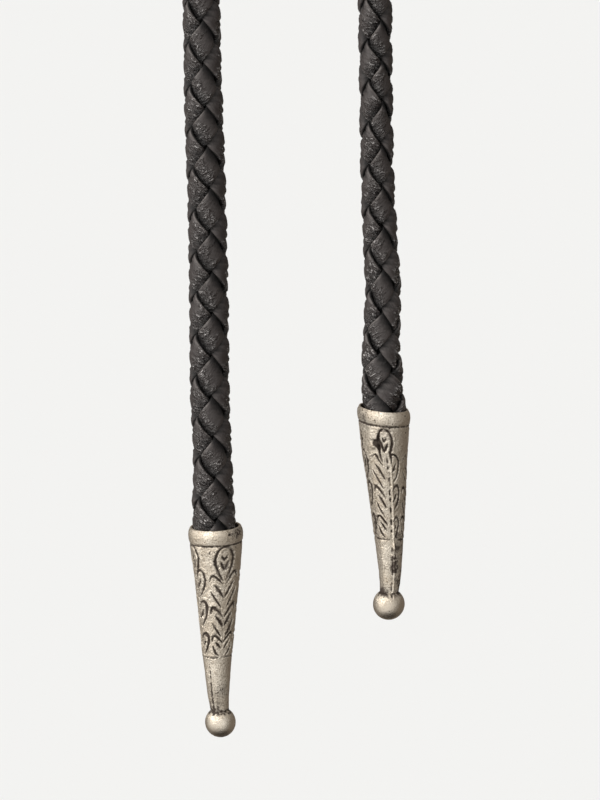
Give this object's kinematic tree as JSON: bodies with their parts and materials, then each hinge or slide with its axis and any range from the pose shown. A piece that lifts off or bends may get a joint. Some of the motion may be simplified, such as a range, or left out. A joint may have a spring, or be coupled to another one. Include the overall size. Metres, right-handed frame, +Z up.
{
  "type": "bolo tie",
  "caption": "Bolo tie: one braided leather cord worn round a collar, held by a plain slide at the throat, with an engraved cast tip with a ball on each hanging end.",
  "frame": {"origin": "inside of the cord at the nape, where the tie rests on the back of the neck", "axes": "+Z up, -Y towards the wearer's front, +X to the right as seen from the front"},
  "size_m": [0.1316, 0.1375, 0.3915],
  "materials": {
    "leather": "black braided leather laces, satin, with grain, creases and lighter cut edges",
    "antique_silver": "cast silver-coloured alloy, satin, with dark patina in the engraved lines"
  },
  "bodies": {
    "root": {"cord_neck_loop": "leather", "slide": "antique_silver", "cord_end_left": "leather", "tip_left": "antique_silver", "cord_end_right": "leather", "tip_right": "antique_silver"}
  },
  "joints": []
}
